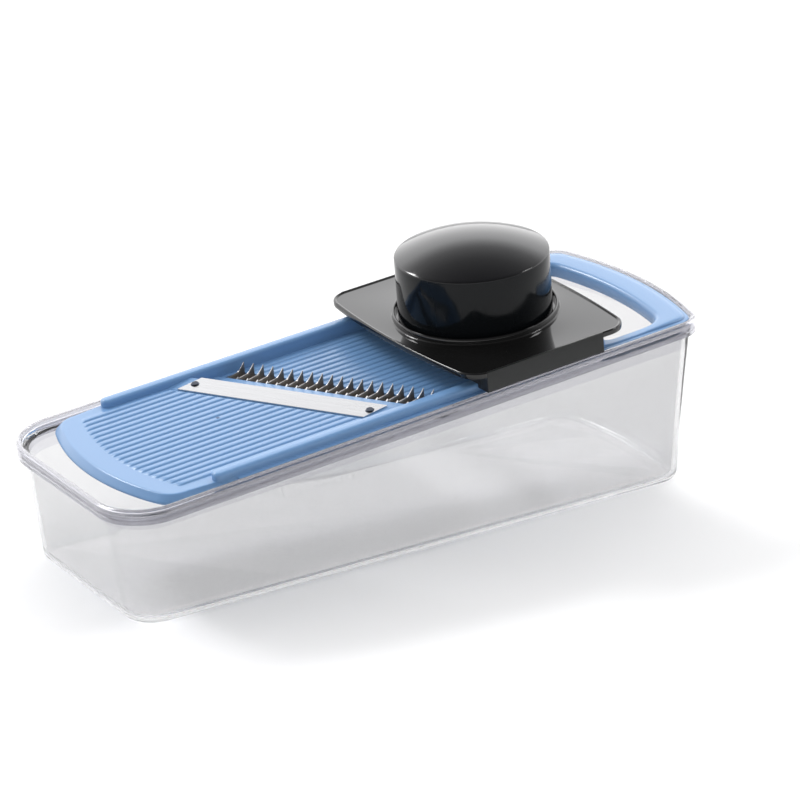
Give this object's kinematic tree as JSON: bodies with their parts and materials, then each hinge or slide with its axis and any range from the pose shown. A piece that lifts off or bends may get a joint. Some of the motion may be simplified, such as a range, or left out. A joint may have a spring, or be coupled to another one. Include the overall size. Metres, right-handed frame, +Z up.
{
  "type": "mandoline slicer",
  "caption": "Mandoline slicer on a clear wedge-shaped food container: ribbed frame with slanted blade and julienne comb, and a sliding food guard with a round pusher.",
  "frame": {"origin": "on the table, under the centre of the container's length and width", "axes": "+X along the container from the nose to the handle, +Y across, +Z up; the rim and all above it are pitched 5 degrees about Y, rising towards +X"},
  "size_m": [0.3493, 0.134, 0.1398],
  "materials": {
    "clear_tub": "clear polished",
    "blue_frame": "satin moulded",
    "blade_steel": "fine ground",
    "comb_steel": "pressed",
    "rivet_steel": "dark",
    "black_guard": "polished",
    "black_cap": "polished",
    "black_disc": "moulded",
    "screw_steel": "plated",
    "pin_steel": "polished"
  },
  "bodies": {
    "container": {"container_tub": "clear_tub"},
    "slicer": {"slicer_frame": "blue_frame", "slicing_blade": "blade_steel", "blade_rivet_left": "rivet_steel", "blade_rivet_right": "rivet_steel", "julienne_comb": "comb_steel", "comb_rivet_left": "rivet_steel", "comb_rivet_right": "rivet_steel"},
    "guard": {"guard_plate": "black_guard"},
    "pusher": {"pusher_cap": "black_cap", "spike_disc": "black_disc", "pusher_screw_1": "screw_steel", "pusher_screw_2": "screw_steel", "pusher_screw_3": "screw_steel", "food_pin_1": "pin_steel", "food_pin_2": "pin_steel", "food_pin_3": "pin_steel", "food_pin_4": "pin_steel", "food_pin_5": "pin_steel", "food_pin_6": "pin_steel", "food_pin_7": "pin_steel", "food_pin_8": "pin_steel"}
  },
  "joints": [
    {"name": "frame_lift", "type": "slide", "parent": "container", "child": "slicer", "axis": [-0.0872, 0, 0.9962], "range_m": [0, 0.08]},
    {"name": "guard_slide", "type": "slide", "parent": "slicer", "child": "guard", "axis": [0.9962, 0, 0.0872], "range_m": [-0.15, 0.025]},
    {"name": "pusher_slide", "type": "slide", "parent": "guard", "child": "pusher", "axis": [-0.0872, 0, 0.9962], "range_m": [0, 0.022]}
  ]
}
